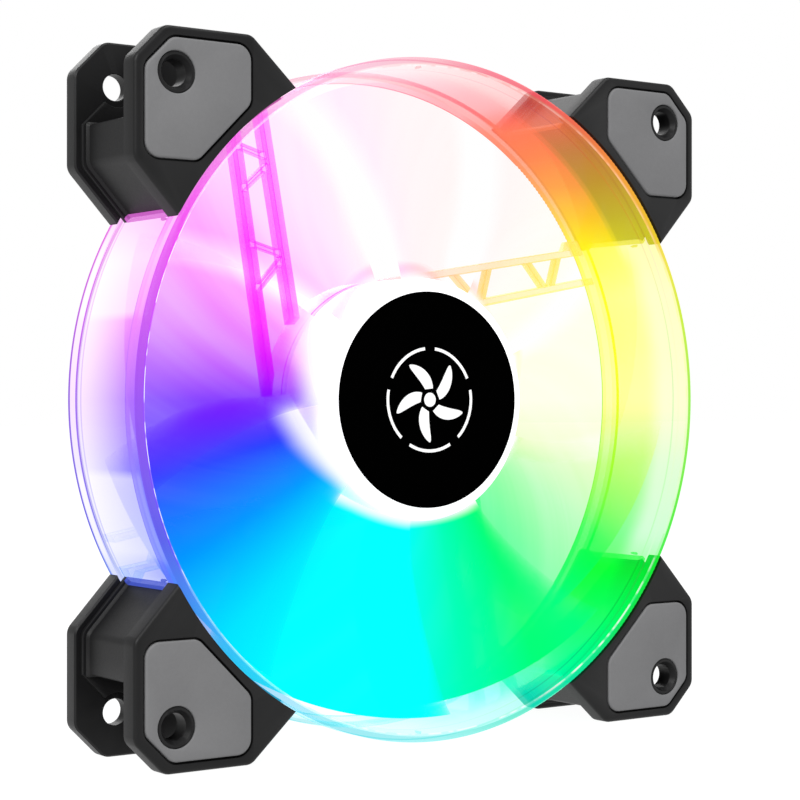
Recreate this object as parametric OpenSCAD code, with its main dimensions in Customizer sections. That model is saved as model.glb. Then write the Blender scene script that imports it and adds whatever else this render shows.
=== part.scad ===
// Case fan, 120 mm square pattern, 25 mm thick, clear ring with black corners.
// Row frame: the fan faces -Y, +X is right and +Z is up as seen from the front.
// The origin is on the rotor axis, halfway through the thickness.

/* [Frame] */
// Width and height over the corner brackets
fan_w = 120; // [119:0.5:121]
// Thickness over the rubber pads
fan_d = 25; // [24.8:0.1:25.6]
// Distance between neighbouring screw holes
hole_pitch = 105; // [104.5:0.5:105.5]
// Diameter of the screw holes
hole_d = 4.5; // [4.2:0.1:4.8]
// Thickness of the front bracket flange
front_flange_t = 4.1; // [3.6:0.1:4.4]
// Thickness of the rear bracket flange
rear_flange_t = 3.5; // [3.2:0.1:4]
// Thickness of the rubber pads
pad_t = 1.3; // [1:0.1:1.6]

/* [Ring] */
// Inner diameter of the clear ring
ring_bore_d = 115.7; // [115:0.1:116]
// Height of the lips at the ring's two rims
lip_h = 0.95; // [0.6:0.05:1]

/* [Impeller] */
// Number of blades
blade_count = 9; // [7:1:11]
// Diameter over the blade tips
tip_d = 112.8; // [110:0.2:113.4]
// Diameter of the hub
hub_d = 43; // [43:0.1:43.4]
// Sweep of the blade tips towards the turning direction, in degrees
blade_sweep = 13; // [4:1:18]
// Blade thickness at the root
blade_t = 1.5; // [1.2:0.1:1.8]

/* [Struts] */
// Distance of the outer rail from the axis
rail_out = 21.4; // [21:0.1:21.6]
// Distance of the inner rail from the axis
rail_in = 12.79; // [12.4:0.1:13]
// Width of a rail
rail_w = 1.32; // [1.1:0.05:1.6]

/* [Motor] */
// Shaft diameter
shaft_d = 3; // [2.8:0.1:3.1]
// Radial clearance of the shaft in its bearing
shaft_gap = 0.03; // [0.02:0.01:0.08]
// Outer radius of the stator
stator_r = 17; // [16.6:0.1:17.1]
// Number of light packages on the motor board
led_count = 8; // [4:1:12]

/* [Hidden] */
$fn = 96;

// Front and rear planes. Pads stand 0.2 mm proud of the brackets and the ring.
pf = -fan_d / 2;
pr = fan_d / 2;
bf = pf + 0.2;
br = pr - 0.2;
half = fan_w / 2;
hole = hole_pitch / 2;

// Ring
bore_r = ring_bore_d / 2;
lip_r = half - 0.25;
groove_r = lip_r - lip_h;
lip_f = bf + front_flange_t - 0.1;
lip_b = br - rear_flange_t + 0.1;

// Hub and motor stack, along Y
hub_r = hub_d / 2;
hub_front = -8.65;
hub_rear = 4.6;
hub_wall = 1.5;
hub_round = 2.2;
label_r = 19.07;
label_t = 0.3;
base_r = 21.5;
base_front = 6;
base_rear = br + 0.1;
strut_front = 8.9;
tube_r = 4.3;
bearing_r = 3.2;
yoke_r = hub_r - hub_wall - 0.02;
magnet_r = yoke_r - 0.8;
board_f = 6.9;
board_t = 1;
core_f = -2.6;
core_b = 2.4;

// A flat outline in (X, Z), standing from y0 to y1.
module plate(y0, y1) {
    translate([0, y1, 0]) rotate([90, 0, 0]) linear_extrude(y1 - y0) children();
}

// A round of points (radius, Y) turned about the Y axis.
module turned(pts) {
    rotate([90, 0, 0]) rotate_extrude() polygon([for (q = pts) [q[0], -q[1]]]);
}

// A plain tube or disc about the Y axis.
module tube(y0, y1, r_out, r_in = 0) {
    plate(y0, y1) difference() {
        circle(r = r_out);
        if (r_in > 0) circle(r = r_in);
    }
}

// Copies for the four corners, clockwise as seen from the front, upper right first.
module quarter(k) {
    rotate([0, 90 * k, 0]) children();
}

function unit(v) = v / norm(v);

// An arc of radius r that rounds the corner b between a and c.
function corner_arc(a, b, c, r, n) =
    let (u = unit(a - b), v = unit(c - b), ang = acos(u * v),
        ctr = b + unit(u + v) * (r / sin(ang / 2)),
        s = b + u * (r / tan(ang / 2)) - ctr, e = b + v * (r / tan(ang / 2)) - ctr,
        a0 = atan2(s[1], s[0]), da0 = atan2(e[1], e[0]) - a0,
        da = da0 > 180 ? da0 - 360 : da0 < -180 ? da0 + 360 : da0)
    [for (i = [0:n]) ctr + r * [cos(a0 + da * i / n), sin(a0 + da * i / n)]];

// A polygon with each corner i rounded to rs[i]; 0 keeps it sharp.
function rounded(p, rs, n = 6) =
    let (m = len(p))
    [for (i = [0:m - 1]) each rs[i] > 0
        ? corner_arc(p[(i + m - 1) % m], p[i], p[(i + 1) % m], rs[i], n) : [p[i]]];

// ---------- ring ----------

module clear_ring() {
    color([0.92, 0.95, 0.97, 0.35]) union() {
        turned([
            [bore_r, pf + 3.8], [bore_r + 0.35, bf],
            [lip_r - 0.5, bf], [lip_r - 0.15, bf + 0.15], [lip_r, bf + 0.5],
            [lip_r, lip_f - 0.25], [lip_r - 0.25, lip_f], [groove_r, lip_f],
            [groove_r, lip_b], [lip_r - 0.25, lip_b], [lip_r, lip_b + 0.25],
            [lip_r, br - 0.5], [lip_r - 0.15, br - 0.15], [lip_r - 0.5, br],
            [bore_r, br]]);
        // low sills in the groove that hold each bracket's post from sliding round
        for (k = [0:3]) quarter(k) plate(lip_f - 0.2, br - rear_flange_t - 0.85) intersection() {
            circle(r = lip_r - 0.05);
            difference() {
                polygon(flange_pts(1.05));
                polygon(flange_pts(1.95));
                circle(r = groove_r - 0.3);
            }
        }
    }
}

// ---------- corner brackets and pads ----------

// Outline of a bracket flange, drawn in by e on every outer side.
slant = [-0.6764, 0.7363];
slant_d = slant * [half - 21.7, half];
function slant_x(e) = (slant[1] * (half - e) - (slant_d - e)) / -slant[0];
function slant_z(e) = (slant_d - e - slant[0] * 24) / slant[1];
function flange_pts(e) =
    let (o = half - e, c = 2 * half - 5.5 - e * sqrt(2))
    rounded([[o, c - o], [c - o, o], [slant_x(e), o], [24, slant_z(e)],
        [slant_z(e), 24], [o, slant_x(e)]], [2.5, 2.5, 2.5, 0, 0, 2.5]);

module flange_shape(e, r) {
    difference() {
        polygon(flange_pts(e));
        circle(r = r);
    }
}

// Outline of a pad, grown by e on every side.
function pad_pts(e) =
    let (o = half - 1.9 + e, i = half - 21.4 - e,
        dout = 2 * half - 8.6 + e * sqrt(2), din = 2 * half - 32.9 - e * sqrt(2))
    rounded([[o, dout - o], [dout - o, o], [i, o], [i, din - i], [din - i, i], [o, i]],
        [2.4, 2.4, 2.6, 2.4, 2.4, 2.6]);

module corner_bracket() {
    notch = hole - 6.7;
    color([0.08, 0.08, 0.085]) difference() {
        union() {
            plate(bf, bf + front_flange_t) flange_shape(0, lip_r + 0.05);
            plate(br - rear_flange_t, br) flange_shape(0, lip_r + 0.05);
            // the post between the flanges, open round the screw
            difference() {
                plate(bf + front_flange_t, br - rear_flange_t) flange_shape(2, groove_r + 0.05);
                translate([notch, bf, notch]) cube([half, fan_d, half]);
            }
            // the step round the foot of the post, which ends on a slant across the screw hole
            plate(br - rear_flange_t - 0.8, br - rear_flange_t) difference() {
                flange_shape(1.1, groove_r + 0.05);
                polygon([[2 * hole - 70.4, 70], [70, 70], [70, 2 * hole - 70.4]]);
                translate([hole, hole]) circle(r = 3.4);
            }
        }
        // pockets for the pads, with a collar left standing round the hole
        plate(bf - 1, pf + pad_t) difference() {
            polygon(pad_pts(0.35));
            translate([hole, hole]) circle(r = 3.4);
        }
        plate(pr - pad_t, br + 1) difference() {
            polygon(pad_pts(0.35));
            translate([hole, hole]) circle(r = 3.4);
        }
        // the lips of the ring
        tube(bf - 1, lip_f + 0.05, lip_r + 0.05);
        tube(lip_b - 0.05, br + 1, lip_r + 0.05);
        // screw hole and its countersunk mouths
        translate([hole, 0, hole]) {
            rotate([90, 0, 0]) cylinder(d = hole_d, h = 2 * fan_d, center = true);
            translate([0, bf + 1, 0]) rotate([90, 0, 0]) cylinder(r1 = hole_d / 2, r2 = hole_d / 2 + 0.6, h = 1.001);
            translate([0, br - 1, 0]) rotate([-90, 0, 0]) cylinder(r1 = hole_d / 2, r2 = hole_d / 2 + 0.6, h = 1.001);
        }
    }
}

module pad(y0) {
    color([0.5, 0.5, 0.51]) plate(y0, y0 + pad_t) difference() {
        polygon(pad_pts(0));
        translate([hole, hole]) circle(r = 3.45);
    }
}

module corner_upper_right() { quarter(0) corner_bracket(); }
module corner_lower_right() { quarter(1) corner_bracket(); }
module corner_lower_left() { quarter(2) corner_bracket(); }
module corner_upper_left() { quarter(3) corner_bracket(); }
module front_pad_upper_right() { quarter(0) pad(pf); }
module front_pad_lower_right() { quarter(1) pad(pf); }
module front_pad_lower_left() { quarter(2) pad(pf); }
module front_pad_upper_left() { quarter(3) pad(pf); }
module rear_pad_upper_right() { quarter(0) pad(pr - pad_t); }
module rear_pad_lower_right() { quarter(1) pad(pr - pad_t); }
module rear_pad_lower_left() { quarter(2) pad(pr - pad_t); }
module rear_pad_upper_left() { quarter(3) pad(pr - pad_t); }

// ---------- struts and motor base ----------

// The two rails lean a little apart towards the axis: 9.25 and 10.49 degrees.
lean_out = 9.25;
lean_in = 10.49;
function out_z(x, off = 0) = (rail_out + off) / cos(lean_out) + x * tan(lean_out);
function in_z(x, off = 0) = (rail_in + off) / cos(lean_in) + x * tan(lean_in);

// A slanting brace of width w between two points.
module brace(a, b, w) {
    n = unit([a[1] - b[1], b[0] - a[0]]) * w / 2;
    polygon([a + n, b + n, b - n, a - n]);
}

module strut_shape() {
    polygon([[0.5, out_z(0.5)], [58, out_z(58)], [58, out_z(58, -rail_w)], [0.5, out_z(0.5, -rail_w)]]);
    polygon([[8, in_z(8, rail_w)], [58, in_z(58, rail_w)], [58, in_z(58)], [8, in_z(8)]]);
    // gussets where the rails meet the ring
    polygon([[46.8, out_z(46.8) - 0.3], [46.8, out_z(46.8)], [47.6, 31.1], [51, 31.6], [51, out_z(51) - 0.3]]);
    polygon([[50.6, out_z(50.6, -rail_w) + 0.3], [53.2, 24.2], [57, 23.8], [57, out_z(57, -rail_w)]]);
}

module strut() {
    color([0.92, 0.95, 0.97, 0.35]) difference() {
        union() {
            plate(strut_front, br + 0.1) strut_shape();
            // the braces are thinner than the rails
            plate(9.7, 11.5) {
                brace([18.9, 24.3], [25.3, 18.4], 1.05);
                brace([27.8, 25.6], [26, 18.9], 1.05);
                brace([36.9, 26.9], [41.7, 21.5], 1.05);
                brace([44.9, 28.3], [43.1, 22], 1.05);
            }
        }
        tube(base_front, pr + 1, base_r + 0.02);
        // keeps what lies inside the ring's bore
        tube(0, pr + 1, 80, bore_r - 0.03);
    }
}

module strut_upper_right() { quarter(0) strut(); }
module strut_lower_right() { quarter(1) strut(); }
module strut_lower_left() { quarter(2) strut(); }
module strut_upper_left() { quarter(3) strut(); }

module motor_base() {
    color([0.92, 0.94, 0.96, 0.5]) difference() {
        turned([[0, 11.65], [tube_r + 0.01, 11.65], [tube_r + 0.01, 8.4], [7, 8.4], [7, 10.9],
            [19.3, 10.9], [19.3, board_f + board_t + 0.02], [20.3, board_f + board_t + 0.02],
            [20.3, base_front], [base_r, base_front], [base_r, base_rear - 0.5],
            [base_r - 0.5, base_rear], [16.6, base_rear], [16.6, base_rear - 0.27], [0, base_rear - 0.27]]);
        // exit for the leads
        rotate([0, 135, 0]) translate([-2, 8.4, 14]) cube([4, 2.4, 10]);
    }
}

module rear_label() {
    color([0.1, 0.1, 0.11]) tube(base_rear - 0.25, base_rear - 0.02, 16.4);
}

// ---------- fixed half of the motor ----------

module bearing_tube() {
    color([0.78, 0.62, 0.3]) tube(-4.3, 11.6, tube_r, bearing_r + 0.005);
}

module sleeve_bearing() {
    color([0.6, 0.42, 0.25]) turned([
        [shaft_d / 2 + shaft_gap, -3.7], [shaft_d / 2 + shaft_gap, 7.4],
        [shaft_d / 2 + 0.25, 7.6], [bearing_r - 0.2, 7.6], [bearing_r, 7.4],
        [bearing_r, -3.7], [bearing_r - 0.2, -3.9], [shaft_d / 2 + 0.25, -3.9]]);
}

module oil_seal() {
    color([0.12, 0.12, 0.12]) tube(-4.3, -3.93, bearing_r, shaft_d / 2 + 0.1);
}

module thrust_cap() {
    color([0.9, 0.9, 0.88]) turned([[0, 10.42], [2.2, 10.42], [2.2, 9.6], [bearing_r, 9.6],
        [bearing_r, 11.6], [0, 11.6]]);
}

module core_shape(grow = 0) {
    circle(r = 6.4 + grow);
    for (a = [0:90:270]) rotate(a) translate([0, -2.5 - grow]) square([15, 5 + 2 * grow]);
}

module stator_core() {
    color([0.35, 0.37, 0.4]) plate(core_f, core_b) difference() {
        union() {
            core_shape();
            difference() {
                circle(r = stator_r);
                circle(r = 13.8);
                for (a = [45:90:315]) rotate(a) translate([12, -1.6]) square([8, 3.2]);
            }
        }
        circle(r = tube_r + 0.02);
    }
}

// The insulator that carries the windings; dir is -1 in front, 1 behind.
module bobbin(y, dir) {
    color([0.93, 0.93, 0.9]) {
        plate(min(y, y + dir), max(y, y + dir)) difference() {
            union() {
                core_shape(0.15);
                difference() {
                    circle(r = 13.5);
                    circle(r = 12.4);
                    for (a = [45:90:315]) rotate(a) translate([10, -2.4]) square([6, 4.8]);
                }
            }
            circle(r = tube_r + 0.03);
            difference() {
                circle(r = 20);
                circle(r = 13.5);
            }
        }
        plate(min(y + dir, y + 2.4 * dir), max(y + dir, y + 2.4 * dir)) difference() {
            circle(r = 13.5);
            circle(r = 12.4);
            for (a = [45:90:315]) rotate(a) translate([10, -2.4]) square([6, 4.8]);
        }
    }
}

module front_bobbin() { bobbin(core_f, -1); }
module rear_bobbin() { bobbin(core_b, 1); }

module coils() {
    y_mid = (core_f + core_b) / 2;
    for (a = [0:90:270]) color([0.72, 0.36, 0.16]) rotate([0, a, 0]) translate([0, y_mid, 7])
        linear_extrude(4.1) difference() {
            polygon(rounded([[5.3, 5.1], [-5.3, 5.1], [-5.3, -5.1], [5.3, -5.1]], [2, 2, 2, 2], 5));
            square([5.5, 7.2], center = true);
        }
}

pin_spots = [for (a = [20, 110, 200]) 12.95 * [cos(a), sin(a)]];

module winding_pins() {
    color([0.8, 0.8, 0.78]) plate(core_b + 2.4, board_f + board_t + 0.8)
        for (p = pin_spots) translate(p) circle(r = 0.3);
}

module motor_board() {
    color([0.05, 0.22, 0.12]) plate(board_f, board_f + board_t) difference() {
        circle(r = 20.2);
        circle(r = tube_r + 0.3);
        for (p = pin_spots) translate(p) circle(r = 0.4);
    }
}

module driver_chip() {
    color([0.06, 0.06, 0.06]) rotate([0, 40, 0]) translate([-2.5, board_f - 1.3, 8]) cube([5, 1.3, 4]);
}

module board_parts() {
    color([0.72, 0.6, 0.42]) for (s = [[150, 9, 3.2, 1.6], [205, 10, 3.2, 1.6], [250, 8, 2, 1.2], [300, 11, 2, 1.2]])
        rotate([0, s[0], 0]) translate([-s[2] / 2, board_f - 1, s[1]]) cube([s[2], 1, s[3]]);
}

module hub_leds() {
    for (k = [0:led_count - 1]) color([0.97, 0.97, 0.9]) rotate([0, (k + 0.5) * 360 / led_count, 0])
        translate([-1.6, board_f - 1.3, 17]) cube([3.2, 1.3, 2.8]);
}

// ---------- rotor ----------

// Share of the blade's length at radius r, from 0 at the root to 1 at the tip.
root_r = hub_r - 0.8;
tip_r = tip_d / 2;
function span(r) = (r - root_r) / (tip_r - root_r);
function ease(t) = t < 0 ? 0 : t > 1 ? 1 : t * t * (3 - 2 * t);
// Middle angle, angular width and the two edges' depth at span t.
function mid_angle(t) = blade_sweep * pow(t, 1.35);
function width_angle(t) = (360 / blade_count) * (1.10 + 0.06 * ease(t * 1.6) - 0.02 * ease((t - 0.55) / 0.45));
function rear_y(t) = 4.1 + 2.7 * ease(t * 3);
function front_y(t) = -7.1 - 1 * ease(t * 2) + 0.8 * ease((t - 0.7) / 0.3);
function thick(t) = blade_t * (1 - 0.35 * t);
// Depth and turn along the chord, s from 0 at the rear edge to 1 at the leading edge.
function chord_y(t, s) = rear_y(t) + (front_y(t) - rear_y(t)) * (s + 0.32 * s * (1 - s));
function chord_a(t, s) = mid_angle(t) + (s - 0.5) * width_angle(t);
function edge_t(s) = 0.3 + 0.7 * sqrt(max(0, sin(180 * s)));
// A point of the blade's skin: side 1 or -1.
function skin(t, s, side) =
    let (r = root_r + t * (tip_r - root_r),
        dy = (front_y(t) - rear_y(t)) * (1.32 - 0.64 * s),
        da = r * width_angle(t) * PI / 180,
        n = unit([-dy, da]) * side * thick(t) * edge_t(s) / 2,
        a = chord_a(t, s) + n[0] / r * 180 / PI,
        y = chord_y(t, s) + n[1])
    [r * cos(a), y, r * sin(a)];

module blade() {
    nr = 7;
    nc = 8;
    m = 2 * (nc + 1);
    pts = [for (j = [0:nr]) each concat(
        [for (k = [0:nc]) skin(j / nr, k / nc, 1)],
        [for (k = [0:nc]) skin(j / nr, 1 - k / nc, -1)])];
    sides = [for (j = [0:nr - 1], k = [0:m - 1]) each
        let (a = j * m + k, b = j * m + (k + 1) % m, c = a + m, d = b + m)
        [[a, d, b], [a, c, d]]];
    caps = [for (k = [0:nc - 1]) each
        let (a = k, b = k + 1, c = m - 1 - k, d = m - 2 - k, e = nr * m)
        [[a, b, d], [a, d, c], [e + a, e + d, e + b], [e + a, e + c, e + d]]];
    polyhedron(points = pts, faces = concat(sides, caps));
}

module impeller() {
    color([0.85, 0.92, 1, 0.5]) {
        difference() {
            union() {
                turned(concat(
                    [[0, hub_front], [hub_r - hub_round, hub_front]],
                    [for (i = [1:5]) [hub_r - hub_round + hub_round * sin(18 * i), hub_front + hub_round - hub_round * cos(18 * i)]],
                    [[hub_r, hub_rear], [hub_r - hub_wall, hub_rear], [hub_r - hub_wall, hub_front + 1.5],
                    [4.5, hub_front + 1.5], [4.5, -4.9], [0, -4.9]]));
                for (k = [0:blade_count - 1]) rotate([0, k * 360 / blade_count, 0]) blade();
            }
            tube(-8.2, -4, shaft_d / 2);
        }
    }
}

module hub_label() {
    color([0.02, 0.02, 0.02]) tube(hub_front - label_t, hub_front, label_r);
}

module rotor_yoke() {
    color([0.6, 0.6, 0.62]) turned([[4.6, -7.13], [yoke_r - 0.8, -7.13], [yoke_r, -6.33], [yoke_r, 3.6],
        [yoke_r - 0.78, 3.6], [yoke_r - 0.78, -6.33], [4.6, -6.33]]);
}

module rotor_magnet() {
    color([0.2, 0.2, 0.21]) tube(-4.4, 3.4, magnet_r, stator_r + 0.7);
}

module shaft() {
    s = shaft_d / 2;
    color([0.8, 0.8, 0.82]) turned([[0, -8.15], [s - 0.2, -8.15], [s, -7.95], [s, 8], [s - 0.35, 8],
        [s - 0.35, 8.5], [s, 8.5], [s, 9.7], [s - 0.25, 10.1], [s - 0.75, 10.32], [0, 10.4]]);
}

module retaining_clip() {
    color([0.9, 0.88, 0.8]) plate(8.03, 8.47) difference() {
        circle(r = 2.4);
        circle(r = shaft_d / 2 - 0.34);
        translate([0, -0.7]) square([4, 1.4]);
    }
}

clear_ring();
corner_upper_right();
corner_lower_right();
corner_lower_left();
corner_upper_left();
front_pad_upper_right();
front_pad_lower_right();
front_pad_lower_left();
front_pad_upper_left();
rear_pad_upper_right();
rear_pad_lower_right();
rear_pad_lower_left();
rear_pad_upper_left();
strut_upper_right();
strut_lower_right();
strut_lower_left();
strut_upper_left();
motor_base();
bearing_tube();
sleeve_bearing();
oil_seal();
thrust_cap();
stator_core();
front_bobbin();
rear_bobbin();
coils();
winding_pins();
motor_board();
driver_chip();
board_parts();
hub_leds();
rear_label();
impeller();
hub_label();
rotor_yoke();
rotor_magnet();
shaft();
retaining_clip();
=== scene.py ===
import math

import bmesh
import bpy
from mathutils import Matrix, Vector


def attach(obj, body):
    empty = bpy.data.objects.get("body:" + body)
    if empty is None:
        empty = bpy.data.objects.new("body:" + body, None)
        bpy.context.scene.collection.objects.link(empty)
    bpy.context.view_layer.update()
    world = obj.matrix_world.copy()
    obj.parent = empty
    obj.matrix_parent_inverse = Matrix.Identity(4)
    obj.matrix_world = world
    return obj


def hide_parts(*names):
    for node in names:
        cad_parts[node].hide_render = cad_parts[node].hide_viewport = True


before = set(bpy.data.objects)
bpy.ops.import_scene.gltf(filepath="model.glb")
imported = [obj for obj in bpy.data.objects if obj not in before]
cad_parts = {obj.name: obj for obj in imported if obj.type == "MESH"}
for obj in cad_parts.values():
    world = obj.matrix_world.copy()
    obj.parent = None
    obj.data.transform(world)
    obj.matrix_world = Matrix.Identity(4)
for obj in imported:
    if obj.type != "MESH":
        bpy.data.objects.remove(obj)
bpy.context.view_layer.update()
scene = bpy.context.scene
MM = 0.001
PI = math.pi

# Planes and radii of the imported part, in millimetres.
PF, PR, BF, BR = -12.5, 12.5, -12.3, 12.3
HOLE = 52.5
BORE, GROOVE, LIP = 57.85, 58.8, 59.75
HUB_R, HUB_F, HUB_B = 21.5, -8.65, 4.6
LABEL_R, LABEL_F = 19.07, -8.95


# ---------------------------------------------------------------- mesh tools

def finish_mesh(ob, mats, sharp=32.0, body="frame"):
    me = ob.data
    for m in mats:
        me.materials.append(m)
    me.shade_smooth()
    me.set_sharp_from_angle(angle=math.radians(sharp))
    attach(ob, body)
    return ob


def from_bmesh(name, bm, mats, sharp=32.0, body="frame", weld=0.0015, normals=True):
    """A new object from a bmesh drawn in millimetres."""
    if weld:
        bmesh.ops.remove_doubles(bm, verts=bm.verts, dist=weld)
    if normals:
        bmesh.ops.recalc_face_normals(bm, faces=bm.faces)
    for v in bm.verts:
        v.co *= MM
    me = bpy.data.meshes.new(name)
    bm.to_mesh(me)
    bm.free()
    ob = bpy.data.objects.new(name, me)
    scene.collection.objects.link(ob)
    return finish_mesh(ob, mats, sharp, body)


def add_loop(bm, pts, y, turn=0.0):
    """Vertices of a flat outline (x, z) at depth y, turned clockwise about the axis as seen from the front."""
    c, s = math.cos(turn), math.sin(turn)
    return [bm.verts.new((x * c + z * s, y, -x * s + z * c)) for x, z in pts]


def bridge(bm, a, b, mat=0):
    n = len(a)
    for i in range(n):
        j = (i + 1) % n
        f = bm.faces.new((a[i], a[j], b[j], b[i]))
        f.material_index = mat


def cap(bm, loops, mat=0):
    """Fills the flat area between one outer loop and any holes."""
    edges = []
    for loop in loops:
        for i in range(len(loop)):
            v, w = loop[i], loop[(i + 1) % len(loop)]
            e = bm.edges.get((v, w)) or bm.edges.new((v, w))
            edges.append(e)
    made = bmesh.ops.triangle_fill(bm, use_beauty=True, use_dissolve=False, edges=edges)
    for g in made["geom"]:
        if isinstance(g, bmesh.types.BMFace):
            g.material_index = mat


def arc_corner(a, b, c, r, n):
    """Points of an arc of radius r that rounds corner b between a and c."""
    ax, az, cx, cz = a[0] - b[0], a[1] - b[1], c[0] - b[0], c[1] - b[1]
    la, lc = math.hypot(ax, az), math.hypot(cx, cz)
    ux, uz, vx, vz = ax / la, az / la, cx / lc, cz / lc
    ang = math.acos(max(-1, min(1, ux * vx + uz * vz)))
    t = r / math.tan(ang / 2)
    lim = 0.49 * min(la, lc)
    if t > lim:
        t = lim
        r = t * math.tan(ang / 2)
    mx, mz = ux + vx, uz + vz
    ml = math.hypot(mx, mz)
    k = r / math.sin(ang / 2)
    ox, oz = b[0] + mx / ml * k, b[1] + mz / ml * k
    s0 = math.atan2(b[1] + uz * t - oz, b[0] + ux * t - ox)
    s1 = math.atan2(b[1] + vz * t - oz, b[0] + vx * t - ox)
    d = s1 - s0
    if d > PI:
        d -= 2 * PI
    if d < -PI:
        d += 2 * PI
    return [(ox + r * math.cos(s0 + d * i / n), oz + r * math.sin(s0 + d * i / n)) for i in range(n + 1)]


def fillet(pts, rs, n=3):
    """A closed outline with corner i rounded by rs[i]. Returns points and, for each, the tag of the edge that follows it:
    ("c", i) on corner i's arc, ("s", i) on the straight side after corner i."""
    out, tags = [], []
    m = len(pts)
    for i in range(m):
        if rs[i] > 0:
            arc = arc_corner(pts[i - 1], pts[i], pts[(i + 1) % m], rs[i], n)
            out += arc
            tags += [("c", i)] * (len(arc) - 1) + [("s", i)]
        else:
            out.append(pts[i])
            tags.append(("s", i))
    return out, tags


def revolve(bm, prof, n, mats=None, shift=None, closed=True):
    """Turns a profile of (r, y) about the Y axis. mats gives a material index for the edge after each point."""
    rings = []
    for k in range(n):
        a = 2 * PI * k / n
        ca, sa = math.cos(a), math.sin(a)
        ring = []
        for i, (r, y) in enumerate(prof):
            if shift:
                r, y = shift(i, r, y, a, k)
            ring.append(bm.verts.new((r * ca, y, r * sa)))
        rings.append(ring)
    m = len(prof)
    for k in range(n):
        p, q = rings[k], rings[(k + 1) % n]
        for i in range(m if closed else m - 1):
            j = (i + 1) % m
            f = bm.faces.new((p[i], p[j], q[j], q[i]))
            f.material_index = mats[i] if mats else 0
    return rings


# ---------------------------------------------------------------- materials

def lin(v):
    v /= 255
    return v / 12.92 if v <= 0.04045 else ((v + 0.055) / 1.055) ** 2.4


def rgb(r, g, b):
    return (lin(r), lin(g), lin(b), 1.0)


class Tree:
    """A small helper that builds node trees."""

    def __init__(self, name):
        self.mat = bpy.data.materials.new(name)
        self.mat.use_nodes = True
        self.t = self.mat.node_tree
        self.t.nodes.clear()
        self.out = self.t.nodes.new("ShaderNodeOutputMaterial")
        self.bsdf = self.t.nodes.new("ShaderNodeBsdfPrincipled")
        self.t.links.new(self.bsdf.outputs[0], self.out.inputs[0])

    def node(self, kind, **props):
        n = self.t.nodes.new("ShaderNode" + kind)
        for k, v in props.items():
            setattr(n, k, v)
        return n

    def put(self, target, value):
        if hasattr(value, "is_output"):
            self.t.links.new(value, target)
        else:
            target.default_value = value

    def set(self, **kw):
        for k, v in kw.items():
            self.put(self.bsdf.inputs[k.replace("_", " ")], v)

    def math(self, op, a, b=None, c=None, clamp=False):
        n = self.node("Math", operation=op, use_clamp=clamp)
        self.put(n.inputs[0], a)
        if b is not None:
            self.put(n.inputs[1], b)
        if c is not None:
            self.put(n.inputs[2], c)
        return n.outputs[0]

    def vmath(self, op, a, b=None):
        n = self.node("VectorMath", operation=op)
        self.put(n.inputs[0], a)
        if b is not None:
            self.put(n.inputs[1], b)
        return n.outputs[0]

    def scale(self, v, s):
        n = self.node("VectorMath", operation="SCALE")
        self.put(n.inputs[0], v)
        self.put(n.inputs[3], s)
        return n.outputs[0]

    def mix(self, f, a, b, kind="MIX"):
        n = self.node("Mix", data_type="RGBA", blend_type=kind)
        self.put(n.inputs[0], f)
        self.put(n.inputs[6], a)
        self.put(n.inputs[7], b)
        return n.outputs[2]

    def fmix(self, f, a, b):
        n = self.node("Mix", data_type="FLOAT")
        self.put(n.inputs[0], f)
        self.put(n.inputs[2], a)
        self.put(n.inputs[3], b)
        return n.outputs[0]

    def noise(self, vec, scale, detail=3.0, rough=0.55, dim="3D"):
        n = self.node("TexNoise", noise_dimensions=dim)
        self.put(n.inputs["Vector"], vec)
        n.inputs["Scale"].default_value = scale
        n.inputs["Detail"].default_value = detail
        n.inputs["Roughness"].default_value = rough
        return n.outputs[0]

    def band(self, v, lo, hi, a=0.0, b=1.0, smooth=True):
        """v from lo to hi mapped to a to b, held outside."""
        n = self.node("MapRange", interpolation_type="SMOOTHSTEP" if smooth else "LINEAR")
        n.clamp = True
        self.put(n.inputs[0], v)
        for i, x in enumerate((lo, hi, a, b)):
            self.put(n.inputs[1 + i], x)
        return n.outputs[0]

    def bump(self, height, strength, distance):
        n = self.node("Bump")
        self.put(n.inputs["Height"], height)
        n.inputs["Strength"].default_value = strength
        n.inputs["Distance"].default_value = distance
        return n.outputs[0]

    def object_pos(self):
        return self.node("TexCoord").outputs["Object"]

    def place(self):
        """World position, angle share about the axis (0 at the left, rising through the bottom, right and top) and radius."""
        pos = self.node("NewGeometry").outputs["Position"]
        s = self.node("SeparateXYZ")
        self.put(s.inputs[0], pos)
        ang = self.math("ARCTAN2", s.outputs[2], s.outputs[0])
        share = self.math("MULTIPLY_ADD", ang, 0.5 / PI, 0.5)
        r = self.math("SQRT", self.math("ADD", self.math("MULTIPLY", s.outputs[0], s.outputs[0]), self.math("MULTIPLY", s.outputs[2], s.outputs[2])))
        return pos, share, r

    def ramp(self, fac, stops, interp="LINEAR"):
        n = self.node("ValToRGB")
        cr = n.color_ramp
        cr.interpolation = interp
        stops = sorted(stops)
        while len(cr.elements) < len(stops):
            cr.elements.new(0.5)
        for e, (p, c) in zip(cr.elements, stops):
            e.position = p
            e.color = c
        self.put(n.inputs[0], fac)
        return n.outputs[0], n.outputs[1]


def wheel(table):
    """Stops for a ramp from (degrees, (r, g, b), strength) rows. Degrees run from -180 at the left through -90 at the bottom."""
    return [((d + 180) / 360, (*c, s)) for d, c, s in table]


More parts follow.
